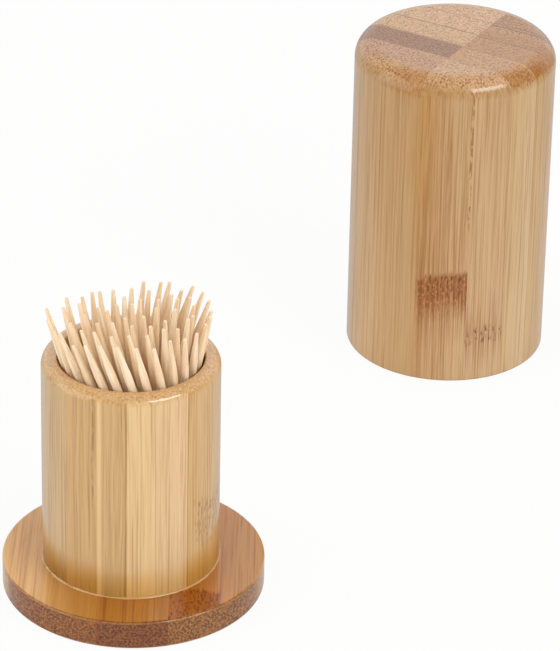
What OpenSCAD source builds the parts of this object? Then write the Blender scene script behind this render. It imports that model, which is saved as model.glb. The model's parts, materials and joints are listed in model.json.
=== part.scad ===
// Bamboo toothpick holder: a round base, a cup glued upright on it, the cap that was
// taken off and stands beside it, and the toothpicks.
// The origin is the centre of the base's underside, +Z is up and -Y is the front.
// Every turned block is glued up from bamboo strips, and each strip is a piece of its own.

/* [Toothpicks] */
// Length of a toothpick
pick_len = 65; // [58:0.5:70]
// Thickness of a toothpick
pick_d = 2; // [1.8:0.05:2.2]
// Length of the taper at each end
pick_taper = 5; // [3:0.5:15]
// Width of the blunt tip
pick_tip_d = 0.8; // [0.3:0.1:1.2]
// How much longer or shorter than the rest a toothpick may be
pick_len_spread = 1; // [0:0.1:1.5]
// Gap between a toothpick's foot and the floor of the cup
pick_seat_gap = 0.25; // [0.15:0.05:0.4]
// Gap between the outer toothpicks and the bore at the rim
pick_wall_gap = 0.35; // [0.2:0.05:1]

/* [Cup] */
// Bore of the cup
cup_bore_d = 35.4; // [33:0.2:40]
// Wall of the cup
cup_wall = 3.85; // [3:0.05:6]
// Height of the cup above the base
cup_h = 55.1; // [48:0.1:60]
// Wood left under the bore
cup_floor = 5; // [3:0.5:10]
// Round on the outer edge of the rim
cup_rim_round = 2.5; // [1:0.1:2.8]
// Round on the rim's inner edge
cup_lip_round = 0.5; // [0.2:0.1:0.8]
// Width of the bamboo strips in the cup
cup_strip_w = 7.2; // [6.5:0.1:7.8]
// Direction of the cup's strips, in degrees
cup_turn = -87; // [-180:1:180]
// How far the cup was glued to the right of the base's centre
cup_off_x = -0.7; // [-2:0.1:2]
// How far the cup was glued behind the base's centre
cup_off_y = 0.2; // [-2:0.1:2]
// Width of the glue bead round the cup's foot
bead_w = 0.6; // [0.3:0.1:1.5]

/* [Cap] */
// Gap between the cup and the bore of the cap
cap_fit = 0.8; // [0.3:0.1:1.5]
// Wall of the cap
cap_wall = 4; // [3:0.1:6]
// Wood over the bore of the cap
cap_crown = 7; // [5:0.5:10]
// Room over the toothpicks in the closed cap
cap_head_room = 10.9; // [3:0.1:15]
// Round on the upper edge of the cap
cap_top_round = 5.4; // [2:0.1:7]
// Round on the edges of the cap's mouth
cap_mouth_round = 0.6; // [0.3:0.1:1.2]
// Width of the bamboo strips in the cap
cap_strip_w = 8.15; // [7.2:0.05:8.6]
// Direction of the cap's strips, in degrees
cap_turn = -29.5; // [-180:0.5:180]
// Where the cap stands, to the right of the base's centre
cap_x = 79; // [70:1:120]
// Where the cap stands, behind the base's centre
cap_y = 126.7; // [90:0.1:160]

/* [Base] */
// Thickness of the base
base_h = 7.4; // [5:0.1:12]
// Ledge of the base round the closed cap
base_ledge = 5.65; // [3:0.05:10]
// Round on the base's edges
base_round = 0.6; // [0.4:0.1:2]
// Width of the base's middle strip
base_strip_w = 17.2; // [12:0.1:22]
// Direction of the base's strips, in degrees
base_turn = -90; // [-180:1:180]

/* [Hidden] */
$fn = 96;
over = 1;
cup_r = cup_bore_d / 2 + cup_wall;
cap_bore_r = cup_r + cap_fit;
cap_r = cap_bore_r + cap_wall;
cap_h = cup_floor + pick_len + cap_head_room + cap_crown;
base_r = cap_r + base_ledge;
rim_z = base_h + cup_h;
floor_z = base_h + cup_floor;

// The base is three strips side by side. The cup and the cap are two layers each, which meet at
// one long joint. The first joint in each layer gives the places of the others. All of them are
// measured from the block's axis.
base_first_joint = -7.8;
cup_long_joint = 3.6;
cup_front_first_joint = -15.6;
cup_back_first_joint = -12.5;
cap_long_joint = 3.8;
cap_left_first_joint = -19.4;
cap_right_first_joint = -20.4;
base_edges = [-base_r - over, base_first_joint, base_first_joint + base_strip_w, base_r + over];
cup_front_edges = strip_edges(cup_strip_w, cup_front_first_joint, cup_r, cup_wall);
cup_back_edges = strip_edges(cup_strip_w, cup_back_first_joint, cup_r, cup_wall);
cap_left_edges = strip_edges(cap_strip_w, cap_left_first_joint, cap_r, cap_wall);
cap_right_edges = strip_edges(cap_strip_w, cap_right_first_joint, cap_r, cap_wall);
strip_colors = ["burlywood", "tan", "wheat", "peru", "navajowhite"];

// The toothpicks stand in rings at the rim, one pitch apart and each ring turned against the
// next. Each foot is turned and drawn in from its toothpick's place at the rim by the same
// shares, so that no two of them cross.
ring_turn = 187.8;
pick_pitch_share = 1.75;
foot_x_shares = [0.21, -0.73];
foot_y_shares = [0.73, 0.51];
foot_shift_shares = [0.15, 0.06];
clear_back_share = 0.5;
clear_back_turn = 30;
middle_share = 0.55;
length_seed = 248;
pick_sides = 24;
pick_pitch = pick_d * pick_pitch_share;
pick_reach = (cup_bore_d - pick_d) / 2 - pick_wall_gap;
rim_spots = [
    for (k = [0:pick_reach / pick_pitch])
        let (r = pick_reach - k * pick_pitch, count = max(1, floor(2 * PI * r / pick_pitch)))
        for (j = [0:count - 1])
            let (a = 360 * j / count + k * ring_turn) r * [cos(a), sin(a)]];
spots = len(rim_spots);
length_changes = rands(-pick_len_spread, pick_len_spread, spots, length_seed);
// The toothpicks that slide out one by one, by their shares of the way through the rings
loose_shares = [0.201, 0.323, 0.445, 0.506, 0.64, 0.713, 0.787, 0.896];
loose_picks = [for (s = loose_shares) floor(s * spots)];
pick_groups = ["front", "left", "right", "middle_front", "middle_back"];

function numbered(name, count) = [for (i = [1:count]) str(name, i)];

// Half section of a turned block, with its upper and lower edges rounded
module block_section(r, h, top_round, foot_round) {
    translate([0, foot_round]) square([r, h - top_round - foot_round]);
    translate([0, h / 2]) square([r - top_round, h / 2]);
    square([r - foot_round, h / 2]);
    translate([r - top_round, h - top_round]) circle(top_round);
    if (foot_round > 0) translate([r - foot_round, foot_round]) circle(foot_round);
}

// Half section of a bore with a rounded mouth, which opens upwards at height z
module bore_section(r, depth, z, mouth_round) {
    translate([0, z - depth]) square([r, depth + over]);
    difference() {
        translate([0, z - mouth_round]) square([r + mouth_round, mouth_round + over]);
        translate([r + mouth_round, z - mouth_round]) circle(mouth_round);
    }
}

// The edges of the strips across a layer of a block with radius r. The strips meet one width
// apart, and a rest at the far side that is narrower than `least` stays on its neighbour.
function strip_edges(width, first_joint, r, least) =
    [-r - over, each [first_joint:width:r - least], r + over];

// The space of strip i of a layer that reaches from u[0] to u[1] through the block
module strip_space(edges, i, h, u) {
    translate([u[0], edges[i], -over])
        cube([u[1] - u[0], edges[i + 1] - edges[i], h + 2 * over]);
}

module base_strip(i) {
    reach = base_r + over;
    color(strip_colors[i % len(strip_colors)])
        intersection() {
            rotate_extrude() block_section(base_r, base_h, base_round, base_round);
            rotate(base_turn) strip_space(base_edges, i, base_h, [-reach, reach]);
        }
}

// Strip i of the cup, in the layer that reaches from u[0] to u[1]
module cup_strip(edges, i, u) {
    color(strip_colors[(i + 1) % len(strip_colors)])
        translate([cup_off_x, cup_off_y, base_h])
            intersection() {
                rotate_extrude()
                    difference() {
                        block_section(cup_r, cup_h, cup_rim_round, 0);
                        bore_section(cup_bore_d / 2, cup_h - cup_floor, cup_h, cup_lip_round);
                    }
                rotate(cup_turn) strip_space(edges, i, cup_h, u);
            }
}

module cup_front_strip(i) {
    cup_strip(cup_front_edges, i, [cup_long_joint, cup_r + over]);
}

module cup_back_strip(i) {
    cup_strip(cup_back_edges, i, [-cup_r - over, cup_long_joint]);
}

module foot_glue_bead() {
    color("moccasin")
        translate([cup_off_x, cup_off_y, base_h])
            rotate_extrude()
                translate([cup_r, 0])
                    intersection() {
                        circle(bead_w);
                        square(bead_w);
                    }
}

// Strip i of the cap, in the layer that reaches from u[0] to u[1]
module cap_strip(edges, i, u) {
    color(strip_colors[(i + 3) % len(strip_colors)])
        translate([cap_x, cap_y, 0])
            intersection() {
                rotate_extrude()
                    difference() {
                        block_section(cap_r, cap_h, cap_top_round, cap_mouth_round);
                        mirror([0, 1])
                            bore_section(cap_bore_r, cap_h - cap_crown, 0, cap_mouth_round);
                    }
                rotate(cap_turn) strip_space(edges, i, cap_h, u);
            }
}

module cap_left_strip(i) {
    cap_strip(cap_left_edges, i, [-cap_r - over, cap_long_joint]);
}

module cap_right_strip(i) {
    cap_strip(cap_right_edges, i, [cap_long_joint, cap_r + over]);
}

// Where toothpick i stands in the cup, measured from the cup's axis
function foot_spot(i) =
    [foot_x_shares * rim_spots[i], foot_y_shares * rim_spots[i]] + pick_reach * foot_shift_shares;

// The toothpicks lean forwards and to the right, so the rim stays clear at the back on the left
function stands(i) =
    rim_spots[i] * [-sin(clear_back_turn), cos(clear_back_turn)] < clear_back_share * pick_reach;

function is_loose(i) = len(search(i, loose_picks)) > 0;

// The name of the group that toothpick i belongs to
function group_of(i) =
    let (p = rim_spots[i], side = abs(p.x) - abs(p.y))
    norm(p) < middle_share * pick_reach ? (p.y < 0 ? "middle_front" : "middle_back") :
    side < 0 && p.y < 0 ? "front" : p.x < 0 ? "left" : "right";

// A round toothpick with both ends tapered, standing on its tip
module toothpick(length) {
    rotate_extrude($fn = pick_sides)
        polygon([[0, 0], [pick_tip_d / 2, 0], [pick_d / 2, pick_taper],
            [pick_d / 2, length - pick_taper], [pick_tip_d / 2, length], [0, length]]);
}

// Toothpick i, leaning from its foot to its place at the rim
module standing_toothpick(i) {
    foot = [each foot_spot(i), floor_z + pick_seat_gap];
    way = [each rim_spots[i], rim_z] - foot;
    color("cornsilk")
        translate(foot + [cup_off_x, cup_off_y, 0])
            rotate([0, acos(way.z / norm(way)), atan2(way.y, way.x)])
                toothpick(pick_len + length_changes[i]);
}

module toothpick_group(name) {
    for (i = [0:spots - 1])
        if (stands(i) && !is_loose(i) && group_of(i) == name) standing_toothpick(i);
}

module loose_toothpick(k) {
    standing_toothpick(loose_picks[k]);
}

for (i = [0:len(base_edges) - 2])
    base_strip(i);
for (i = [0:len(cup_front_edges) - 2])
    cup_front_strip(i);
for (i = [0:len(cup_back_edges) - 2])
    cup_back_strip(i);
foot_glue_bead();
for (i = [0:len(cap_left_edges) - 2])
    cap_left_strip(i);
for (i = [0:len(cap_right_edges) - 2])
    cap_right_strip(i);
for (g = pick_groups)
    toothpick_group(g);
for (k = [0:len(loose_picks) - 1])
    loose_toothpick(k);
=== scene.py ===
# Bamboo toothpick holder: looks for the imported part. Lengths are metres unless a note says mm.
import json
import math

import bpy
import numpy as np
from mathutils import Matrix, Vector


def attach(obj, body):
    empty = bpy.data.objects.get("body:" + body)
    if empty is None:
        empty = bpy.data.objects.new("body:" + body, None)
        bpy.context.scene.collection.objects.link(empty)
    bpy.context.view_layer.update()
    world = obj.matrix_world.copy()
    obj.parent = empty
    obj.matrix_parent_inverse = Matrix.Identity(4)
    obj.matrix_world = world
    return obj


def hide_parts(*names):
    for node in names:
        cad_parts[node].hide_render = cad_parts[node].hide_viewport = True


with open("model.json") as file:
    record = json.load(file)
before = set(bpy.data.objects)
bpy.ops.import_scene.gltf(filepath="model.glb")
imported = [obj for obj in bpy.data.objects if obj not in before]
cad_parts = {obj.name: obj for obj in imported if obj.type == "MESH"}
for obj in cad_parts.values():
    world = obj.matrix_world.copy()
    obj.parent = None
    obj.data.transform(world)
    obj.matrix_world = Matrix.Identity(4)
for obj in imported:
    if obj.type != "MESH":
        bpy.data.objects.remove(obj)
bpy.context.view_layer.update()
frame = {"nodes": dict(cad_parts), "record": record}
nodes = frame["nodes"]
mm = 0.001


def linear(hexColour):
    # sRGB hex to the linear colour that the sockets take
    parts = [int(hexColour[i:i + 2], 16) / 255 for i in (1, 3, 5)]
    return [c / 12.92 if c <= 0.04045 else ((c + 0.055) / 1.055) ** 2.4 for c in parts] + [1.0]


def tinted(colour, factors):
    # a linear colour made darker or paler in red, green and blue
    return [min(1.0, c * k) for c, k in zip(colour, factors)] + [1.0]


def addNode(tree, kind, inputs=None, **settings):
    # one node with its settings; an input takes a value, a socket or a node, and where sockets
    # share a name the one in use counts
    node = tree.nodes.new(kind)
    for key, value in settings.items():
        setattr(node, key, value)
    for key, value in (inputs or {}).items():
        if isinstance(key, str):
            socket = next(s for s in node.inputs if s.name == key and s.enabled)
        else:
            socket = node.inputs[key]
        if isinstance(value, bpy.types.Node):
            value = next(s for s in value.outputs if s.enabled)
        if isinstance(value, bpy.types.NodeSocket):
            tree.links.new(value, socket)
        else:
            socket.default_value = value
    return node


def newMaterial(name):
    material = bpy.data.materials.new(name)
    material.use_nodes = True
    material.node_tree.nodes.clear()
    return material, material.node_tree


# Camera, at the photograph's angle
cameraPlace = {
    "place": (0.034595, -0.886124, 0.561020),
    "pitch": 28.925,         # degrees it looks down
    "roll": 1.191,           # degrees
    "lens": 236.21,          # mm
    "sensor": 36,            # mm on the long side
    "clip": (0.05, 30),      # nearest and farthest that it sees
}


def makeCamera():
    pitch, roll = math.radians(cameraPlace["pitch"]), math.radians(cameraPlace["roll"])
    level, rise = Vector((1, 0, 0)), Vector((0, math.sin(pitch), math.cos(pitch)))
    ahead = Vector((0, math.cos(pitch), -math.sin(pitch)))
    right = math.cos(roll) * level + math.sin(roll) * rise
    up = math.cos(roll) * rise - math.sin(roll) * level
    data = bpy.data.cameras.new("photoCamera")
    data.lens, data.sensor_width = cameraPlace["lens"], cameraPlace["sensor"]
    data.clip_start, data.clip_end = cameraPlace["clip"]
    camera = bpy.data.objects.new("photoCamera", data)
    bpy.context.scene.collection.objects.link(camera)
    turn = Matrix((right, up, -ahead)).transposed().to_4x4()
    camera.matrix_world = Matrix.Translation(Vector(cameraPlace["place"])) @ turn
    bpy.context.scene.camera = camera


makeCamera()
bpy.context.scene.view_settings.view_transform = "Standard"

# Studio: white table and backdrop, dim room in front, softbox on the right, fill on the left
studio = {
    "roomLevel": 0.72,               # light that the room gives a matt surface
    "roomTint": "#fffefc",
    "frontLevel": 0.12,              # what the lacquer mirrors above and beside the camera
    "backdropEdge": (0.25, 0.75),    # how far round the room turns from dim to white
    "tableTint": "#f2f1ef",
    "tableGlow": 0.93,               # share of the table that is plain white to the camera
    "mirrorLevel": 0.58,             # how bright the table shows in the lacquer
    "tableReach": 8,                 # from its middle to each side
    "tableGap": 0.2 * mm,            # the table is this far under the part
    # azimuth from the front to the right, and elevation, in degrees
    "softbox": {"azimuth": 46, "elevation": 37, "size": (0.60, 0.27), "watts": 3.3},
    "fill": {"azimuth": -75, "elevation": 22, "size": (0.8, 0.8), "watts": 2.7},
    "distance": 0.9,                 # of both lamps from the point that they aim at
    "aim": (0.03, 0.03, 0.05),
}


def seenDirectly(tree):
    # 1 for what the camera, a mirror or glass shows and 0 for light on a matt surface, and the
    # same for the camera alone
    path = addNode(tree, "ShaderNodeLightPath")
    seen = addNode(tree, "ShaderNodeMath", {0: path.outputs["Is Camera Ray"],
                   1: path.outputs["Is Glossy Ray"]}, operation="MAXIMUM")
    seen = addNode(tree, "ShaderNodeMath", {0: seen, 1: path.outputs["Is Transmission Ray"]},
                   operation="MAXIMUM")
    return seen, path.outputs["Is Camera Ray"]


def makeRoom():
    world = bpy.data.worlds.new("studioRoom")
    bpy.context.scene.world = world
    world.use_nodes = True
    tree = world.node_tree
    tree.nodes.clear()
    seen, toCamera = seenDirectly(tree)
    # the white backdrop is behind the object; the rest of the room mirrors dimly in the lacquer
    way = addNode(tree, "ShaderNodeTexCoord").outputs["Generated"]
    way = addNode(tree, "ShaderNodeSeparateXYZ", {0: way})
    starts, full = studio["backdropEdge"]
    backdrop = addNode(tree, "ShaderNodeMapRange", {"Value": way.outputs["Y"],
                       "From Min": starts, "From Max": full, "To Min": studio["frontLevel"]},
                       interpolation_type="SMOOTHSTEP")
    backdrop = addNode(tree, "ShaderNodeMath", {0: backdrop, 1: toCamera}, operation="MAXIMUM")
    room = addNode(tree, "ShaderNodeBackground", {"Color": linear(studio["roomTint"]),
                   "Strength": studio["roomLevel"]})
    white = addNode(tree, "ShaderNodeBackground", {"Color": linear("#ffffff"),
                    "Strength": backdrop})
    both = addNode(tree, "ShaderNodeMixShader", {0: seen, 1: room, 2: white})
    addNode(tree, "ShaderNodeOutputWorld", {"Surface": both})


def makeLamps():
    for name in ("softbox", "fill"):
        lamp = studio[name]
        az, el = math.radians(lamp["azimuth"]), math.radians(lamp["elevation"])
        toLamp = Vector((math.sin(az) * math.cos(el), -math.cos(az) * math.cos(el),
                         math.sin(el)))
        data = bpy.data.lights.new(name, "AREA")
        data.shape = "RECTANGLE"
        data.size, data.size_y = lamp["size"]
        data.energy = lamp["watts"]
        box = bpy.data.objects.new(name, data)
        bpy.context.scene.collection.objects.link(box)
        box.location = Vector(studio["aim"]) + studio["distance"] * toLamp
        box.rotation_euler = toLamp.to_track_quat("Z", "Y").to_euler()


def makeTable():
    # matt white table: the camera and the lacquer see it white, with the object's shadow
    material, tree = newMaterial("studioTable")
    seen, toCamera = seenDirectly(tree)
    share = addNode(tree, "ShaderNodeMath", {0: toCamera, 1: studio["tableGlow"] - 1, 2: seen},
                    operation="MULTIPLY_ADD")
    level = addNode(tree, "ShaderNodeMapRange", {"Value": toCamera,
                    "To Min": studio["mirrorLevel"]})
    matt = addNode(tree, "ShaderNodeBsdfDiffuse", {"Color": linear(studio["tableTint"])})
    glow = addNode(tree, "ShaderNodeEmission", {"Color": linear("#ffffff"), "Strength": level})
    both = addNode(tree, "ShaderNodeMixShader", {0: share, 1: matt, 2: glow})
    addNode(tree, "ShaderNodeOutputMaterial", {"Surface": both})
    mesh = bpy.data.meshes.new("studioTable")
    reach, gap = studio["tableReach"], studio["tableGap"]
    mesh.from_pydata([(-reach, -reach, -gap), (reach, -reach, -gap), (reach, reach, -gap),
                      (-reach, reach, -gap)], [], [(0, 1, 2, 3)])
    mesh.materials.append(material)
    table = bpy.data.objects.new("studioTable", mesh)
    bpy.context.scene.collection.objects.link(table)


makeRoom()
makeLamps()
makeTable()
print("camera and studio ready")

# Moso bamboo, split, steamed to a tan, glued up in strips, turned and sanded, then sprayed with
# clear lacquer. Across the grain the eye sees the fibre bundles cut off as dots, along it as fine
# streaks, and brown speckled knuckles where a joint of the culm was planed through.
bambooGrain = {
    # sizes in pairs are mm across and along the grain
    "bundlePitch": 0.72,            # mm between fibre bundles; 0.3 to 0.6 really, drawn coarser
    "bundleFade": (1.3, 24.0),      # over which a bundle darkens and fades
    "streak": (0.44, 30.0),         # the real 0.1 to 0.2 across is under a pixel
    "band": (2.6, 80.0),            # the slow drift from darker to lighter wood
    "fleck": (0.7, 1.3),            # pale softer wood between the bundles
    "dash": (0.9, 2.4),             # gaps in a dark line
    "wander": 0.5,                  # mm by which the grain wanders from straight
    "wanderOver": (14.0, 45.0),
    "blotsPerMm": (1.67, 0.53),     # cut-off bundles in a knuckle, 0.6 mm wide and 1.9 long
    "relief": 0.06,                 # mm
    "bundleDepth": 0.6,             # share of it by which the bundles lie low
    "peelPerMm": 0.4,
    "arrisReach": (0.42, 0.14),     # slope either side of an arris where it fades and is full
    "arrisSpecks": (0.75, 0.35),    # how strong the bundles and the wood round them show there
}
blocks = {
    # centre and turn of the glued-up block in mm and degrees, as in the part's source; order
    # says which of the turned u, v, z run across the strip, through the block and along the
    # grain; endAxis is the world axis along the grain, and endOn the slope to it between side
    # and end grain; arris is the tone, share and slope of the rounded edge; peel is in mm
    "base": {"centre": (0, 0, 0), "turn": -90, "order": (1, 2, 0), "endAxis": 1,
             "endOn": (0.1, 0.5), "arris": ("#dba766", 0.45, 0.42), "peel": 0.02,
             "coatIor": 1.52, "coatRoughness": 0.06},
    "cup": {"centre": (-0.7, 0.2, 7.4), "turn": -87, "order": (1, 0, 2), "endAxis": 2,
            "endOn": (0.3, 0.85), "arris": ("#cb9a57", 0.45, 0.42), "peel": 0.05,
            "coatIor": 1.6, "coatRoughness": 0.14,
            # mm up the foot where the painted reflection and bounce light of the orange base
            # begins to fade and where it ends, and its fray
            "foot": (3.15, 11.7, 3.0)},
    "cap": {"centre": (79, 126.7, 0), "turn": -29.5, "order": (1, 0, 2), "endAxis": 2,
            "endOn": (0.3, 0.85), "arris": ("#aa7c42", 0.85, 0.30), "peel": 0.03,
            "coatIor": 1.5, "coatRoughness": 0.16,
            # mm up the cap where painted bounce light from the table begins to lighten it and
            # where it is lightest, and by how much
            "tableBounceLift": (80.0, 6.0, (1.14, 1.20, 1.30))},
}
# what a strip, its end grain and a knuckle are like where their own dictionary says nothing
plainStrip = {
    "spread": ("across", -30, 30),     # mm over which the first tone turns into the second
    "streaks": 0.7, "bundles": 0.5, "bands": 0.3, "clear": 0.55,
    "vein": (0.66, 0.54, 0.40),        # how a vein changes red, green and blue
    "gap": (1.5, 1.6, 1.8),            # the same for the wood between the veins
    "gapShare": 0.35,                  # how much of it shows
    "stainAndBaseReflection": (0.76, 0.57, 0.22),       # the same for the foot of the cup, painted reflection and bounce light of the orange base
    "lines": [],                       # axis, middle, half width, strength, lowest, highest; mm
    "lineCore": 0.3,                   # share of a line's width that is full
    "lineFade": 8,                     # mm over which it ends
    "knots": [],
}
plainEnd = {
    "dots": 0.85, "flecks": 0.5, "pale": 0.5,
    "dot": (0.42, 0.33, 0.26), "paleTone": (1.35, 1.42, 1.5),
    "lines": [],                       # middle, half width, strength; mm
    "lineCore": 0.4,
}
plainKnot = {
    # mm: middle and half across its axis, height along the grain, tall from edge to edge
    "arch": 1.0, "slant": 0.0, "fade": 1.0, "soft": 1.0, "tailUp": 10, "tailDown": 5,
    "fray": 1.6, "blur": 1.0,          # mm by which its edge is ragged and soft
    "stainAndBaseReflection": 0.5, "tail": 0.35, "blots": 0.6, "coarse": 1.0, "flecks": 0.5,
    "fleckTone": (1.15, 1.15, 1.0),
    "crowd": (4.0, 0.5, 0.7, 1.25),    # mm under the top edge, and how strong blots are there
    "sparse": False,                   # only some blots
    "sideOnly": False,                 # not on the end grain
}


def perMm(across, along):
    # scale of a pattern that measures this many mm across and along the grain
    return 1 / across, 1 / across, 1 / along


def makeGrainGroup():
    # place in mm (across, through, along) in; streak, bundle dots, slow band, pale flecks
    # and dashes out
    tree = bpy.data.node_groups.new("bambooGrain", "ShaderNodeTree")
    tree.interface.new_socket("Place", in_out="INPUT", socket_type="NodeSocketVector")
    for name in ("Streak", "Dots", "Band", "Flecks", "Dashes"):
        tree.interface.new_socket(name, in_out="OUTPUT", socket_type="NodeSocketFloat")
    size = bambooGrain
    place = addNode(tree, "NodeGroupInput").outputs["Place"]
    drift = addNode(tree, "ShaderNodeVectorMath", {0: place, 1: perMm(*size["wanderOver"])},
                    operation="MULTIPLY")
    drift = addNode(tree, "ShaderNodeTexNoise", {"Vector": drift, "Scale": 1.0, "Detail": 1.0})
    # the noise runs from 0 to 1, so half is taken off and the rest doubled
    drift = addNode(tree, "ShaderNodeVectorMath", {0: drift.outputs["Color"],
                    1: (0.5, 0.5, 0.5)}, operation="SUBTRACT")
    drift = addNode(tree, "ShaderNodeVectorMath", {0: drift,
                    1: (size["wander"] * 2, size["wander"] * 2, 0)}, operation="MULTIPLY")
    bent = addNode(tree, "ShaderNodeVectorMath", {0: place, 1: drift}, operation="ADD")

    def fibres(stretch, low, high, least=0.0, detail=1.0, roughness=0.5):
        # stretched clouds that run from least, where the noise is low, to 1, where it is high
        cloud = addNode(tree, "ShaderNodeVectorMath", {0: bent, 1: perMm(*stretch)},
                        operation="MULTIPLY")
        cloud = addNode(tree, "ShaderNodeTexNoise", {"Vector": cloud, "Scale": 1.0,
                        "Detail": detail, "Roughness": roughness})
        return addNode(tree, "ShaderNodeMapRange", {"Value": cloud, "From Min": low,
                       "From Max": high, "To Min": least})

    dots = addNode(tree, "ShaderNodeVectorMath", {0: bent, 1: (1, 1, 0)}, operation="MULTIPLY")
    dots = addNode(tree, "ShaderNodeTexVoronoi", {"Vector": dots,
                   "Scale": 1 / size["bundlePitch"], "Randomness": 0.85},
                   voronoi_dimensions="2D")
    dots = addNode(tree, "ShaderNodeMapRange", {"Value": dots, "From Min": 0.5,
                   "From Max": 0.16}, interpolation_type="SMOOTHSTEP")
    fade = fibres(size["bundleFade"], low=0.36, high=0.6, least=0.12)
    dots = addNode(tree, "ShaderNodeMath", {0: dots, 1: fade}, operation="MULTIPLY")
    flecks = addNode(tree, "ShaderNodeVectorMath", {0: bent, 1: perMm(*size["fleck"])},
                     operation="MULTIPLY")
    flecks = addNode(tree, "ShaderNodeTexVoronoi", {"Vector": flecks, "Scale": 1.0,
                     "Randomness": 1.0})
    flecks = addNode(tree, "ShaderNodeMapRange", {"Value": flecks, "From Min": 0.34,
                     "From Max": 0.14}, interpolation_type="SMOOTHSTEP")
    addNode(tree, "NodeGroupOutput", {
        "Streak": fibres(size["streak"], low=0.38, high=0.62, detail=3.0, roughness=0.66),
        "Dots": dots,
        "Band": fibres(size["band"], low=0.32, high=0.68),
        "Flecks": flecks,
        "Dashes": fibres(size["dash"], low=0.4, high=0.58, detail=2.0)})
    return tree


grainGroup = makeGrainGroup()


def readPlace(tree, block, shift):
    # place in the block in mm, the grain there, shifted from strip to strip, and how far the
    # surface cuts across the grain (endness) and faces up or down (upright)
    turn = math.radians(block["turn"])
    cx, cy, cz = block["centre"]
    start = (-(cx * math.cos(turn) + cy * math.sin(turn)),
             cx * math.sin(turn) - cy * math.cos(turn), -cz)
    where = addNode(tree, "ShaderNodeTexCoord")
    turned = addNode(tree, "ShaderNodeMapping", {"Vector": where.outputs["Object"],
                     "Location": start, "Rotation": (0, 0, -turn),
                     "Scale": (1 / mm, 1 / mm, 1 / mm)})
    turned = addNode(tree, "ShaderNodeSeparateXYZ", {0: turned})
    wood = {axis: turned.outputs[i]
            for axis, i in zip(("across", "through", "along"), block["order"])}
    wood["tree"] = tree
    wood["place"] = addNode(tree, "ShaderNodeCombineXYZ", {0: wood["across"],
                            1: wood["through"], 2: wood["along"]})
    wood["moved"] = addNode(tree, "ShaderNodeVectorMath", {0: wood["place"], 1: shift},
                            operation="ADD")
    wood["grain"] = addNode(tree, "ShaderNodeGroup", {0: wood["moved"]},
                            node_tree=grainGroup).outputs
    facing = addNode(tree, "ShaderNodeSeparateXYZ", {0: where.outputs["Normal"]})
    endOn = addNode(tree, "ShaderNodeMath", {0: facing.outputs[block["endAxis"]]},
                    operation="ABSOLUTE")
    fromSide, toEnd = block["endOn"]
    wood["endness"] = addNode(tree, "ShaderNodeMapRange", {"Value": endOn, "From Min": fromSide,
                              "From Max": toEnd}, interpolation_type="SMOOTHSTEP")
    wood["upright"] = addNode(tree, "ShaderNodeMath", {0: facing.outputs["Z"]},
                              operation="ABSOLUTE")
    return wood


def within(wood, axis, middle, half, soft):
    # 1 where an axis is within half of middle, fading out over soft
    tree = wood["tree"]
    far = addNode(tree, "ShaderNodeMath", {0: wood[axis], 1: middle}, operation="SUBTRACT")
    far = addNode(tree, "ShaderNodeMath", {0: far}, operation="ABSOLUTE")
    return addNode(tree, "ShaderNodeMapRange", {"Value": far, "From Min": half + soft,
                   "From Max": half}, interpolation_type="SMOOTHSTEP")


def colourSide(wood, look):
    # wood cut along the grain: streaks, bundles, slow bands and lines make its veins
    tree, grain = wood["tree"], wood["grain"]
    vein = -look["clear"]
    for part, share in (("Streak", look["streaks"]), ("Dots", look["bundles"]),
                        ("Band", look["bands"])):
        vein = addNode(tree, "ShaderNodeMath", {0: grain[part], 1: share, 2: vein},
                       operation="MULTIPLY_ADD")
    for axis, middle, half, strength, *reach in look["lines"]:
        core = half * look["lineCore"]
        line = addNode(tree, "ShaderNodeMath", {0: within(wood, axis, middle, core,
                       half - core), 1: strength}, operation="MULTIPLY")
        if reach:     # only part of the height, broken into dashes
            low, high = reach
            part = within(wood, "along", (low + high) / 2, (high - low) / 2, look["lineFade"])
            for factor in (part, grain["Dashes"]):
                line = addNode(tree, "ShaderNodeMath", {0: line, 1: factor},
                               operation="MULTIPLY")
        vein = addNode(tree, "ShaderNodeMath", {0: vein, 1: line}, operation="ADD")

    axis, low, high = look["spread"]
    drift = addNode(tree, "ShaderNodeMapRange", {"Value": wood[axis], "From Min": low,
                    "From Max": high})
    first, last = linear(look["tones"][0]), linear(look["tones"][-1])
    colour = addNode(tree, "ShaderNodeMix", {"Factor": drift, "A": first, "B": last},
                     data_type="RGBA")
    for share, change in ((1.0, look["vein"]), (-look["gapShare"], look["gap"])):
        part = addNode(tree, "ShaderNodeMath", {0: vein, 1: share}, operation="MULTIPLY",
                       use_clamp=True)
        colour = addNode(tree, "ShaderNodeMix", {"Factor": part, "A": colour,
                         "B": tinted(first, change)}, data_type="RGBA")
    return colour


def colourEnd(wood, ends):
    # end grain: the bundles are cut off as dots
    tree, grain = wood["tree"], wood["grain"]
    shade = addNode(tree, "ShaderNodeMath", {0: grain["Dots"], 1: ends["dots"]},
                    operation="MULTIPLY")
    core = ends["lineCore"]
    lines = [(within(wood, "across", middle, half * core, half * (1 - core)), strength)
             for middle, half, strength in ends["lines"]]
    for part, share in [(grain["Streak"], ends["flecks"])] + lines:
        shade = addNode(tree, "ShaderNodeMath", {0: part, 1: share, 2: shade},
                        operation="MULTIPLY_ADD", use_clamp=True)
    tone = linear(ends["tone"])
    colour = addNode(tree, "ShaderNodeMix", {"Factor": shade, "A": tone,
                     "B": tinted(tone, ends["dot"])}, data_type="RGBA")
    pale = addNode(tree, "ShaderNodeMath", {0: grain["Flecks"], 1: ends["pale"]},
                   operation="MULTIPLY")
    return addNode(tree, "ShaderNodeMix", {"Factor": pale, "A": colour,
                   "B": tinted(tone, ends["paleTone"])}, data_type="RGBA")


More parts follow.
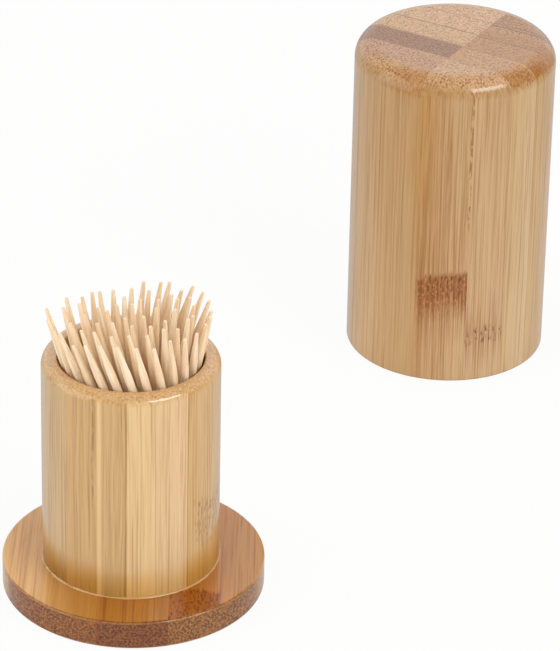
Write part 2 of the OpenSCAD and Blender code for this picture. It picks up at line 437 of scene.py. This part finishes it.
def addArris(wood, arris, colour):
    # the rounded arris cuts the bundles at a slant, so they show as coarse specks
    tree = wood["tree"]
    tone, share, at = arris
    fades, full = bambooGrain["arrisReach"]
    onBundles, between = bambooGrain["arrisSpecks"]
    slope = addNode(tree, "ShaderNodeMath", {0: wood["upright"], 1: at}, operation="SUBTRACT")
    slope = addNode(tree, "ShaderNodeMath", {0: slope}, operation="ABSOLUTE")
    slope = addNode(tree, "ShaderNodeMapRange", {"Value": slope, "From Min": fades,
                    "From Max": full}, interpolation_type="SMOOTHSTEP")
    specks = addNode(tree, "ShaderNodeMath", {0: wood["grain"]["Dots"], 1: onBundles,
                     2: between}, operation="MULTIPLY_ADD")
    for factor in (slope, share):
        specks = addNode(tree, "ShaderNodeMath", {0: specks, 1: factor}, operation="MULTIPLY")
    return addNode(tree, "ShaderNodeMix", {"Factor": specks, "A": colour, "B": linear(tone)},
                   data_type="RGBA")


def addKnot(wood, knot, colour, woodTone):
    # a knuckle: a brown patch with dark blots under an arched edge, with streaks above and below
    tree, grain = wood["tree"], wood["grain"]
    half = knot["tall"] / 2
    width = addNode(tree, "ShaderNodeMath", {0: wood[knot["axis"]], 1: knot["middle"]},
                    operation="SUBTRACT")
    bow = addNode(tree, "ShaderNodeMath", {0: width, 1: 1 / knot["half"]}, operation="MULTIPLY")
    bow = addNode(tree, "ShaderNodeMath", {0: bow, 1: bow}, operation="MULTIPLY")
    up = addNode(tree, "ShaderNodeMath", {0: wood["along"], 1: knot["height"]},
                 operation="SUBTRACT")
    for part, share in ((bow, knot["arch"]), (width, knot["slant"])):
        up = addNode(tree, "ShaderNodeMath", {0: part, 1: share, 2: up},
                     operation="MULTIPLY_ADD")
    ragged = addNode(tree, "ShaderNodeMath", {0: grain["Streak"], 1: knot["fray"], 2: up},
                     operation="MULTIPLY_ADD")
    fade = addNode(tree, "ShaderNodeMapRange", {"Value": ragged, "From Min": -half,
                   "From Max": knot["fade"] - half})
    core = addNode(tree, "ShaderNodeMath", {0: ragged}, operation="ABSOLUTE")
    core = addNode(tree, "ShaderNodeMapRange", {"Value": core, "From Min": half + knot["blur"],
                   "From Max": half - knot["blur"]}, interpolation_type="SMOOTHSTEP")
    core = addNode(tree, "ShaderNodeMath", {0: core, 1: fade}, operation="MULTIPLY")
    inside = within(wood, knot["axis"], knot["middle"], knot["half"], knot["soft"])
    if knot["sideOnly"]:
        inside = addNode(tree, "ShaderNodeMath", {0: inside, 1: wood["endness"]},
                         operation="SUBTRACT", use_clamp=True)

    tail = addNode(tree, "ShaderNodeMapRange", {"Value": up, "From Min": half + knot["tailUp"],
                   "From Max": half})
    below = addNode(tree, "ShaderNodeMapRange", {"Value": up,
                    "From Min": -half - knot["tailDown"], "From Max": -half})
    for factor in (below, grain["Streak"], knot["tail"]):
        tail = addNode(tree, "ShaderNodeMath", {0: tail, 1: factor}, operation="MULTIPLY")
    stained = addNode(tree, "ShaderNodeMath", {0: core, 1: knot["stainAndBaseReflection"], 2: tail},
                      operation="MULTIPLY_ADD", use_clamp=True)
    stained = addNode(tree, "ShaderNodeMath", {0: stained, 1: inside}, operation="MULTIPLY")
    colour = addNode(tree, "ShaderNodeMix", {"Factor": stained, "A": colour,
                     "B": linear(knot["stainTone"])}, data_type="RGBA")

    # dark cut-off bundles, densest along the upper edge, some ringed with pale wood
    deep, near, few, many = knot["crowd"]
    edge = addNode(tree, "ShaderNodeMapRange", {"Value": ragged, "From Min": half - deep,
                   "From Max": half - near, "To Min": few, "To Max": many})
    across, along = [count / knot["coarse"] for count in bambooGrain["blotsPerMm"]]
    blot = addNode(tree, "ShaderNodeVectorMath", {0: wood["moved"], 1: (across, across, along)},
                   operation="MULTIPLY")
    blot = addNode(tree, "ShaderNodeTexVoronoi", {"Vector": blot, "Scale": 1.0,
                   "Randomness": 1.0})
    blot = addNode(tree, "ShaderNodeMapRange", {"Value": blot, "From Min": 0.62,
                   "From Max": 0.2}, interpolation_type="SMOOTHSTEP")
    gaps = [grain["Dashes"]] if knot["sparse"] else []
    for factor in [knot["blots"]] + gaps + [core, inside, edge]:
        blot = addNode(tree, "ShaderNodeMath", {0: blot, 1: factor}, operation="MULTIPLY",
                       use_clamp=True)
    colour = addNode(tree, "ShaderNodeMix", {"Factor": blot, "A": colour,
                     "B": linear(knot["tone"])}, data_type="RGBA")
    fleck = grain["Flecks"]
    for factor in (knot["flecks"], core, inside):
        fleck = addNode(tree, "ShaderNodeMath", {0: fleck, 1: factor}, operation="MULTIPLY")
    return addNode(tree, "ShaderNodeMix", {"Factor": fleck, "A": colour,
                   "B": tinted(woodTone, knot["fleckTone"])}, data_type="RGBA")


def bambooMaterial(name, block, look):
    material, tree = newMaterial(name)
    wood = readPlace(tree, block, look["shift"])
    grain = wood["grain"]
    colour = colourSide(wood, look)
    # painted bounce light from the table: the cap is lighter towards its foot
    if "tableBounceLift" in block:
        high, low, change = block["tableBounceLift"]
        lift = addNode(tree, "ShaderNodeMapRange", {"Value": wood["along"], "From Min": high,
                       "From Max": low})
        colour = addNode(tree, "ShaderNodeMix", {"Factor": lift, "A": colour,
                         "B": [*change, 1.0]}, data_type="RGBA", blend_type="MULTIPLY")
    colour = addNode(tree, "ShaderNodeMix", {"Factor": wood["endness"], "A": colour,
                     "B": colourEnd(wood, {**plainEnd, **look["ends"]})}, data_type="RGBA")
    colour = addArris(wood, block["arris"], colour)
    for knot in look["knots"]:
        colour = addKnot(wood, {**plainKnot, **knot}, colour, linear(look["tones"][0]))
    if "foot" in block:     # painted reflection and bounce light of the orange base: the cup darker and oranger near its foot
        full, gone, fray = block["foot"]
        low = addNode(tree, "ShaderNodeMath", {0: grain["Streak"], 1: fray,
                      2: wood["along"]}, operation="MULTIPLY_ADD")
        low = addNode(tree, "ShaderNodeMapRange", {"Value": low, "From Min": gone,
                      "From Max": full}, interpolation_type="SMOOTHSTEP")
        colour = addNode(tree, "ShaderNodeMix", {"Factor": low, "A": colour,
                         "B": [*look["stainAndBaseReflection"], 1.0]}, data_type="RGBA", blend_type="MULTIPLY")

    rough = addNode(tree, "ShaderNodeMapRange", {"Value": grain["Streak"], "To Min": 0.44,
                    "To Max": 0.52})
    height = addNode(tree, "ShaderNodeMath", {0: grain["Dots"],
                     1: -bambooGrain["bundleDepth"], 2: grain["Streak"]},
                     operation="MULTIPLY_ADD")
    bump = addNode(tree, "ShaderNodeBump", {"Height": height, "Strength": 0.3,
                   "Distance": bambooGrain["relief"] * mm})
    # sprayed lacquer keeps a slight orange-peel wave, which breaks up its highlights
    peel = addNode(tree, "ShaderNodeTexNoise", {"Vector": wood["place"],
                   "Scale": bambooGrain["peelPerMm"], "Detail": 1.0})
    peel = addNode(tree, "ShaderNodeBump", {"Height": peel, "Strength": 1.0,
                   "Distance": block["peel"] * mm})
    shader = addNode(tree, "ShaderNodeBsdfPrincipled", {"Base Color": colour,
                     "Roughness": rough, "IOR": 1.5, "Specular IOR Level": 0.2, "Normal": bump,
                     "Coat Weight": 1.0, "Coat Roughness": block["coatRoughness"],
                     "Coat IOR": block["coatIor"], "Coat Normal": peel})
    addNode(tree, "ShaderNodeOutputMaterial", {"Surface": shader})
    return material


baseEnd = {"tone": "#9a5b28", "dots": 1.0, "flecks": 0.9, "dot": (0.36, 0.27, 0.20)}
baseStrips = {
    # the pale first tone at the far left is partly the wood's tone and partly painted sheen of
    # the white backdrop
    "base_strip_1": {"tones": ["#e1ac66", "#b47726"], "spread": ("across", -24, -13),
                     "ends": {**baseEnd, "tone": "#ac6c30"}, "bands": 0.5},
    "base_strip_2": {"tones": ["#ac6b22", "#ae6f2a"], "ends": baseEnd, "bands": 0.45},
    "base_strip_3": {"tones": ["#b5691e", "#c08641"], "spread": ("across", 12, 27),
                     "ends": {**baseEnd, "tone": "#ae753a"},
                     "knots": [{"axis": "across", "middle": 15.4, "half": 5.6, "height": 23.5,
                                "tall": 13, "arch": -1.0, "tailUp": 4, "tailDown": 7,
                                "tone": "#562206", "stainTone": "#9c5006", "blots": 0.9,
                                "stainAndBaseReflection": 0.8, "tail": 0.5, "coarse": 1.05,
                                "sideOnly": True}]},
}
cupEnd = {"tone": "#dcb17a", "dots": 0.42, "flecks": 0.35}
paleCupEnd = {**cupEnd, "tone": "#dfb480"}
# a cup strip's foot colour is painted reflection and bounce light of the orange base
cupStrips = {
    "cup_front_strip_1": {"tones": ["#cbaa7a", "#d2ac73"], "ends": paleCupEnd,
                          "stainAndBaseReflection": (0.60, 0.40, 0.08)},
    "cup_front_strip_2": {"tones": ["#cea66f"], "ends": cupEnd,
                          "lines": [("across", -9.3, 0.35, 0.6, 30, 56),
                                    ("across", -12.2, 0.3, 0.25)]},
    "cup_front_strip_3": {"tones": ["#cda672", "#cfaa72"], "spread": ("across", -8.4, -1.2),
                          "ends": cupEnd, "stainAndBaseReflection": (0.85, 0.75, 0.48),
                          "lines": [("across", -7.8, 0.8, -1.6), ("across", -1.7, 0.45, 0.4)]},
    "cup_front_strip_4": {"tones": ["#e0bc88"], "ends": cupEnd, "bands": 0.2,
                          "stainAndBaseReflection": (0.95, 0.84, 0.56),
                          "lines": [("across", 4.5, 0.2, 0.35), ("across", 5.6, 0.2, 0.3)]},
    "cup_front_strip_5": {"tones": ["#e1bf8f", "#ddb888"], "ends": cupEnd,
                          "stainAndBaseReflection": (0.93, 0.82, 0.52),
                          "lines": [("across", 8.8, 0.2, 0.4), ("across", 10.9, 0.15, 0.25)]},
    "cup_front_strip_6": {"tones": ["#d3ac70", "#cea56e"], "ends": paleCupEnd,
                          "stainAndBaseReflection": (0.85, 0.67, 0.30),
                          "lines": [("across", 13.4, 0.25, 0.45)],
                          "knots": [{"axis": "through", "middle": 9.5, "half": 5.5,
                                     "height": 15.5, "tall": 13, "arch": -3.0, "tailUp": 6,
                                     "tone": "#8c5a20", "stainTone": "#b58244",
                                     "stainAndBaseReflection": 0.05, "tail": 0.15, "flecks": 0.3}]},
}
for number, tone in enumerate(("#cda46d", "#c99f66", "#d6ae76", "#caa06a", "#d3ab74",
                               "#cda56e"), 1):
    cupStrips["cup_back_strip_%d" % number] = {"tones": [tone], "ends": paleCupEnd}
capKnot = {"axis": "through", "middle": 11.9, "half": 6.2, "height": 25.6, "tall": 14.0,
           "arch": 0.6, "slant": -0.16, "fade": 8.0, "soft": 2.0, "tailUp": 26, "tailDown": 9,
           "tone": "#6a370a", "stainTone": "#985306", "stainAndBaseReflection": 0.62, "tail": 0.5,
           "blots": 0.85, "flecks": 0.6}
shoulderPatch = {"axis": "across", "height": 86.2, "tall": 3.4, "arch": 0.0, "soft": 2.0,
                 "tailUp": 1, "tailDown": 2, "tone": "#8a4f14", "stainTone": "#aa6c24",
                 "blots": 0.5, "flecks": 0.3}
capStrips = {
    "cap_left_strip_1": {"tones": ["#c59f6f", "#ba915e"], "spread": ("through", -18, 4),
                         "ends": {"tone": "#d4a574"},
                         "knots": [{**shoulderPatch, "axis": "through", "middle": 0.0,
                                    "half": 4.0, "height": 85.4, "tall": 5.0, "stainAndBaseReflection": 0.2,
                                    "blots": 0.2}]},
    "cap_left_strip_2": {"tones": ["#c59f75"], "ends": {"tone": "#ce9c73"}},
    "cap_left_strip_3": {"tones": ["#b18861"], "ends": {"tone": "#a7744c"}},
    "cap_left_strip_4": {"tones": ["#c09969"],
                         "ends": {"tone": "#dfb382", "lines": [(-2.7, 0.3, 0.5)]}},
    "cap_left_strip_5": {"tones": ["#c49c6f"], "lines": [("across", 5.4, 0.35, 0.5)],
                         "ends": {"tone": "#e2b587", "lines": [(5.25, 0.35, 0.8)]}},
    "cap_left_strip_6": {"tones": ["#c29c70"],
                         "ends": {"tone": "#e3b68a", "lines": [(13.6, 0.3, 0.45)]}},
    "cap_left_strip_7": {"tones": ["#be976b"], "ends": {"tone": "#dbb188"}},
    "cap_right_strip_1": {"tones": ["#bb8e5a", "#c4a073"], "spread": ("through", 5, 16.5),
                          "ends": {"tone": "#d5a877"}, "streaks": 0.9, "clear": 0.6,
                          "lines": [("across", -20.6, 0.36, 1.15, 50, 86)],
                          "knots": [capKnot]},
    "cap_right_strip_2": {"tones": ["#c5a075", "#c5a073"], "ends": {"tone": "#dbae81"},
                          "lines": [("across", -15.6, 0.22, 0.45), ("across", -14.6, 0.25, 0.5),
                                    ("across", -13.4, 0.2, 0.4), ("across", -12.4, 0.3, 0.35)],
                          "knots": [{"axis": "across", "middle": -16.3, "half": 3.9,
                                     "height": 14.0, "tall": 4.6, "arch": 0.6, "tailUp": 12,
                                     "tailDown": 9, "tone": "#5e3410",
                                     "stainTone": "#9b5f28", "stainAndBaseReflection": 0.05, "tail": 0.5,
                                     "blots": 1.0, "sparse": True}]},
    "cap_right_strip_3": {"tones": ["#c5a273", "#cdad81"], "spread": ("across", -12, -4),
                          "ends": {"tone": "#daab7b"},
                          "knots": [{**shoulderPatch, "middle": -8.8, "half": 3.2,
                                     "stainAndBaseReflection": 0.45}]},
    "cap_right_strip_4": {"tones": ["#c59f6a"], "ends": {"tone": "#d09d6c"},
                          "knots": [{**shoulderPatch, "middle": -1.0, "half": 4.0,
                                     "stainAndBaseReflection": 0.75}]},
    "cap_right_strip_5": {"tones": ["#d0a066"], "lines": [("across", 4.5, 0.35, 0.5)],
                          "ends": {"tone": "#c99768",
                                   "lines": [(4.5, 0.3, 0.6), (6.0, 0.25, 0.4)]},
                          "knots": [{**shoulderPatch, "middle": 4.6, "half": 4.0,
                                     "stainAndBaseReflection": 0.7}]},
    "cap_right_strip_6": {"tones": ["#c29867"], "lines": [("across", 12.7, 0.35, 0.5)],
                          "ends": {"tone": "#c08d5f",
                                   "lines": [(12.7, 0.3, 0.6), (14.2, 0.3, 0.45)]}},
    "cap_right_strip_7": {"tones": ["#be9769"], "ends": {"tone": "#c99a6d"}},
}

for blockName, strips in (("base", baseStrips), ("cup", cupStrips), ("cap", capStrips)):
    for count, (name, strip) in enumerate(strips.items()):
        look = {**plainStrip, **strip}
        look["shift"] = (13.0 * count + 4, 7.0 * count + 9, 41.0 * count)     # mm
        bamboo = bambooMaterial("lacqueredBamboo_" + name, blocks[blockName], look)
        nodes[name].data.materials.clear()
        nodes[name].data.materials.append(bamboo)
    print("bamboo finished on the", blockName)


# Toothpicks of pale birch or bamboo, cut and pointed in a rumbling drum and not lacquered: matt
# and creamy, with fine lines along the grain and slender, blunt points
toothpicks = {
    "thickness": 2.0 * mm, "taper": 8.5 * mm, "tip": 0.85 * mm,
    "wear": 1.2,               # the longest taper as a share of the shortest
    "rings": 40, "sides": 12, "seed": 5,
    "tone": "#feefd5", "warmTone": "#fbe4c2", "grainTone": "#dba567",
    "grainSize": (9.0, 90.0, 110.0),     # pattern round a stick, between sticks and per metre
    "grainShare": 0.5,
    "relief": 0.05 * mm,
}


def pickMaterial():
    material, tree = newMaterial("rumbledToothpickWood")
    along = addNode(tree, "ShaderNodeAttribute", attribute_name="alongPick")
    about = addNode(tree, "ShaderNodeAttribute", attribute_name="aboutPick")
    tint = addNode(tree, "ShaderNodeAttribute", attribute_name="pickTint").outputs["Fac"]
    place = addNode(tree, "ShaderNodeCombineXYZ", {0: about.outputs["Fac"], 1: tint,
                    2: along.outputs["Fac"]})
    place = addNode(tree, "ShaderNodeVectorMath", {0: place, 1: toothpicks["grainSize"]},
                    operation="MULTIPLY")
    streak = addNode(tree, "ShaderNodeTexNoise", {"Vector": place, "Scale": 1.0,
                     "Detail": 2.0})
    streak = addNode(tree, "ShaderNodeMapRange", {"Value": streak, "From Min": 0.35,
                     "From Max": 0.68})
    colour = addNode(tree, "ShaderNodeMix", {"Factor": tint, "A": linear(toothpicks["tone"]),
                     "B": linear(toothpicks["warmTone"])}, data_type="RGBA")
    share = addNode(tree, "ShaderNodeMath", {0: streak, 1: toothpicks["grainShare"]},
                    operation="MULTIPLY")
    colour = addNode(tree, "ShaderNodeMix", {"Factor": share, "A": colour,
                     "B": linear(toothpicks["grainTone"])}, data_type="RGBA")
    bump = addNode(tree, "ShaderNodeBump", {"Height": streak, "Strength": 0.3,
                   "Distance": toothpicks["relief"]})
    shader = addNode(tree, "ShaderNodeBsdfPrincipled", {"Base Color": colour,
                     "Roughness": 0.62, "IOR": 1.5, "Normal": bump,
                     "Subsurface Weight": 0.15, "Subsurface Scale": 1.0 * mm,
                     "Subsurface Radius": (1.0, 0.7, 0.4)})
    addNode(tree, "ShaderNodeOutputMaterial", {"Surface": shader})
    return material


def makePickTree(material):
    # one edge for each toothpick in, turned wooden sticks with tapered ends out
    tree = bpy.data.node_groups.new("toothpickTree", "GeometryNodeTree")
    tree.interface.new_socket("Geometry", in_out="INPUT", socket_type="NodeSocketGeometry")
    for name, kind in (("Thickness", "Float"), ("Taper", "Float"), ("Tip", "Float"),
                       ("Wear", "Float"), ("Rings", "Int"), ("Sides", "Int"),
                       ("Seed", "Int")):
        tree.interface.new_socket(name, in_out="INPUT", socket_type="NodeSocket" + kind)
    tree.interface.new_socket("Geometry", in_out="OUTPUT", socket_type="NodeSocketGeometry")
    given = addNode(tree, "NodeGroupInput").outputs
    curve = addNode(tree, "GeometryNodeMeshToCurve", {0: given["Geometry"]})
    # each stick has a tint of its own, and the drum wears its points to a length of their own
    for name, least, most in (("pickTint", 0.0, 1.0), ("taperShare", 1.0, given["Wear"])):
        chance = addNode(tree, "FunctionNodeRandomValue", {"Min": least, "Max": most,
                         "ID": addNode(tree, "GeometryNodeInputIndex"),
                         "Seed": given["Seed"]})
        curve = addNode(tree, "GeometryNodeStoreNamedAttribute", {"Geometry": curve,
                        "Name": name, "Value": chance}, domain="CURVE")
    curve = addNode(tree, "GeometryNodeResampleCurve", {"Curve": curve,
                    "Count": given["Rings"]})
    step = addNode(tree, "GeometryNodeSplineParameter").outputs["Length"]
    curve = addNode(tree, "GeometryNodeStoreNamedAttribute", {"Geometry": curve,
                    "Name": "alongPick", "Value": step})
    total = addNode(tree, "GeometryNodeSplineLength")
    rest = addNode(tree, "ShaderNodeMath", {0: total, 1: step}, operation="SUBTRACT")
    nearEnd = addNode(tree, "ShaderNodeMath", {0: step, 1: rest}, operation="MINIMUM")
    taper = addNode(tree, "GeometryNodeInputNamedAttribute", {"Name": "taperShare"})
    taper = addNode(tree, "ShaderNodeMath", {0: given["Taper"], 1: taper},
                    operation="MULTIPLY")
    swell = addNode(tree, "ShaderNodeMapRange", {"Value": nearEnd, "From Max": taper})
    half, halfTip = [addNode(tree, "ShaderNodeMath", {0: given[name], 1: 0.5},
                     operation="MULTIPLY") for name in ("Thickness", "Tip")]
    radius = addNode(tree, "ShaderNodeMix", {"Factor": swell, "A": halfTip, "B": half})
    profile = addNode(tree, "GeometryNodeCurvePrimitiveCircle", {"Radius": 1.0,
                      "Resolution": given["Sides"]})
    about = addNode(tree, "GeometryNodeSplineParameter").outputs["Factor"]
    profile = addNode(tree, "GeometryNodeStoreNamedAttribute", {"Geometry": profile,
                      "Name": "aboutPick", "Value": about})
    sticks = addNode(tree, "GeometryNodeCurveToMesh", {"Curve": curve, "Profile Curve": profile,
                     "Scale": radius, "Fill Caps": True})
    sticks = addNode(tree, "GeometryNodeRealizeInstances", {0: sticks})
    sticks = addNode(tree, "GeometryNodeSetMaterial", {0: sticks, "Material": material})
    addNode(tree, "NodeGroupOutput", {"Geometry": sticks})
    return tree


def pickEnds(node):
    # foot and head of every stick in a CAD node, from the islands of its mesh
    points = np.array([v.co for v in node.data.vertices])
    keys, welded = np.unique(np.round(points, 7), axis=0, return_inverse=True)
    welded = welded.reshape(-1)
    island = np.arange(len(keys))
    faces = np.array([[welded[i] for i in p.vertices] for p in node.data.polygons])
    while True:     # the least number on a face spreads to all its corners
        least = island[faces].min(axis=1)
        before = island.copy()
        for corner in range(faces.shape[1]):
            np.minimum.at(island, faces[:, corner], least)
        island = island[island]
        if (before == island).all():
            break
    ends = []
    for label in sorted(set(island)):
        stick = keys[island == label]
        middle = stick.mean(axis=0)
        axis = np.linalg.svd(stick - middle, full_matrices=False)[2][0]
        axis = axis if axis[2] > 0 else -axis
        reach = (stick - middle) @ axis
        foot = stick[reach < reach.min() + 0.1 * mm].mean(axis=0)
        head = stick[reach > reach.max() - 0.1 * mm].mean(axis=0)
        ends.append((foot, head))
    return ends


def runTree(name, mesh, tree, values):
    # puts the tree on the mesh, and returns an object that holds the plain result
    thing = bpy.data.objects.new(name, mesh)
    bpy.context.scene.collection.objects.link(thing)
    modifier = thing.modifiers.new("shape", "NODES")
    modifier.node_group = tree
    for item in tree.interface.items_tree:
        if item.item_type == "SOCKET" and item.in_out == "INPUT" and item.name in values:
            modifier[item.identifier] = values[item.name]
    bpy.context.view_layer.update()
    graph = bpy.context.evaluated_depsgraph_get()
    result = bpy.data.meshes.new_from_object(thing.evaluated_get(graph), depsgraph=graph,
                                             preserve_all_data_layers=True)
    thing.modifiers.clear()
    thing.data = result
    result.name = name
    return thing


def makeToothpicks():
    material = pickMaterial()
    tree = makePickTree(material)
    values = {name.capitalize(): toothpicks[name]
              for name in ("thickness", "taper", "tip", "wear", "rings", "sides")}
    for count, (body, names) in enumerate(frame["record"]["behaviour"]["bodies"].items()):
        if not body.startswith("toothpick"):
            continue
        ends = [pair for name in names for pair in pickEnds(nodes[name])]
        mesh = bpy.data.meshes.new(body)
        mesh.from_pydata([tuple(p) for pair in ends for p in pair],
                         [(2 * i, 2 * i + 1) for i in range(len(ends))], [])
        values["Seed"] = toothpicks["seed"] + count
        sticks = runTree("wooden_" + body, mesh, tree, values)
        for face in sticks.data.polygons:
            face.use_smooth = len(face.vertices) == 4
        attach(sticks, body)
        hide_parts(*names)
        print("made", len(ends), "toothpicks for", body)


makeToothpicks()

# Glue and lacquer that ran together round the cup's foot, and set clear and glossy
glueBead = {
    "centre": [c * mm for c in blocks["cup"]["centre"]],
    "reach": 21.55 * mm, "width": 0.6 * mm, "rings": 220,
    "lumps": 350.0,            # per metre
    "thinnest": 0.35,          # share of the width
    "drops": (-33, 31),        # degrees from the front to the right, where a drop stands out
    "dropHalf": 2.5,           # degrees
    "tone": "#d6a566",
}


def glueMaterial():
    material, tree = newMaterial("setGlue")
    shader = addNode(tree, "ShaderNodeBsdfPrincipled", {"Base Color": linear(glueBead["tone"]),
                     "Roughness": 0.3, "IOR": 1.5, "Coat Weight": 1.0, "Coat Roughness": 0.08,
                     "Subsurface Weight": 0.4, "Subsurface Scale": 0.5 * mm})
    addNode(tree, "ShaderNodeOutputMaterial", {"Surface": shader})
    return material


def makeBeadTree(material):
    # a path round the foot in, a lumpy quarter-round bead out
    tree = bpy.data.node_groups.new("glueBeadTree", "GeometryNodeTree")
    tree.interface.new_socket("Geometry", in_out="INPUT", socket_type="NodeSocketGeometry")
    for name in ("Width", "Lumps", "Thinnest"):
        tree.interface.new_socket(name, in_out="INPUT", socket_type="NodeSocketFloat")
    tree.interface.new_socket("Geometry", in_out="OUTPUT", socket_type="NodeSocketGeometry")
    given = addNode(tree, "NodeGroupInput").outputs
    curve = addNode(tree, "GeometryNodeMeshToCurve", {0: given["Geometry"]})
    lumps = addNode(tree, "ShaderNodeTexNoise", {"Vector": addNode(tree,
                    "GeometryNodeInputPosition"), "Scale": given["Lumps"], "Detail": 1.0})
    lumps = addNode(tree, "ShaderNodeMapRange", {"Value": lumps, "From Min": 0.35,
                    "From Max": 0.65, "To Min": given["Thinnest"]})
    drop = addNode(tree, "GeometryNodeInputNamedAttribute", {"Name": "drop"})
    lumps = addNode(tree, "ShaderNodeMath", {0: lumps, 1: drop}, operation="MAXIMUM")
    width = addNode(tree, "ShaderNodeMath", {0: lumps, 1: given["Width"]},
                    operation="MULTIPLY")
    arc = addNode(tree, "GeometryNodeCurveArc", {"Resolution": 6, "Radius": 1.0,
                  "Start Angle": math.radians(270), "Sweep Angle": math.radians(90),
                  "Connect Center": True})
    bead = addNode(tree, "GeometryNodeCurveToMesh", {"Curve": curve, "Profile Curve": arc,
                   "Scale": width})
    bead = addNode(tree, "GeometryNodeRealizeInstances", {0: bead})
    bead = addNode(tree, "GeometryNodeSetMaterial", {0: bead, "Material": material})
    addNode(tree, "NodeGroupOutput", {"Geometry": bead})
    return tree


def makeGlueBead():
    count, reach = glueBead["rings"], glueBead["reach"]
    cx, cy, cz = glueBead["centre"]
    angles = [2 * math.pi * i / count for i in range(count)]
    mesh = bpy.data.meshes.new("glueBeadPath")
    mesh.from_pydata([(cx + reach * math.sin(a), cy - reach * math.cos(a), cz) for a in angles],
                     [(i, (i + 1) % count) for i in range(count)], [])
    near = mesh.attributes.new("drop", "FLOAT", "POINT")
    for i, a in enumerate(angles):
        far = min(abs((math.degrees(a) - d + 180) % 360 - 180) for d in glueBead["drops"])
        near.data[i].value = max(0.0, 1 - far / glueBead["dropHalf"])
    values = {name.capitalize(): glueBead[name] for name in ("width", "lumps", "thinnest")}
    bead = runTree("set_glue_bead", mesh, makeBeadTree(glueMaterial()), values)
    for face in bead.data.polygons:
        face.use_smooth = True
    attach(bead, "holder")
    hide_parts("foot_glue_bead")
    print("made the glue bead")


makeGlueBead()
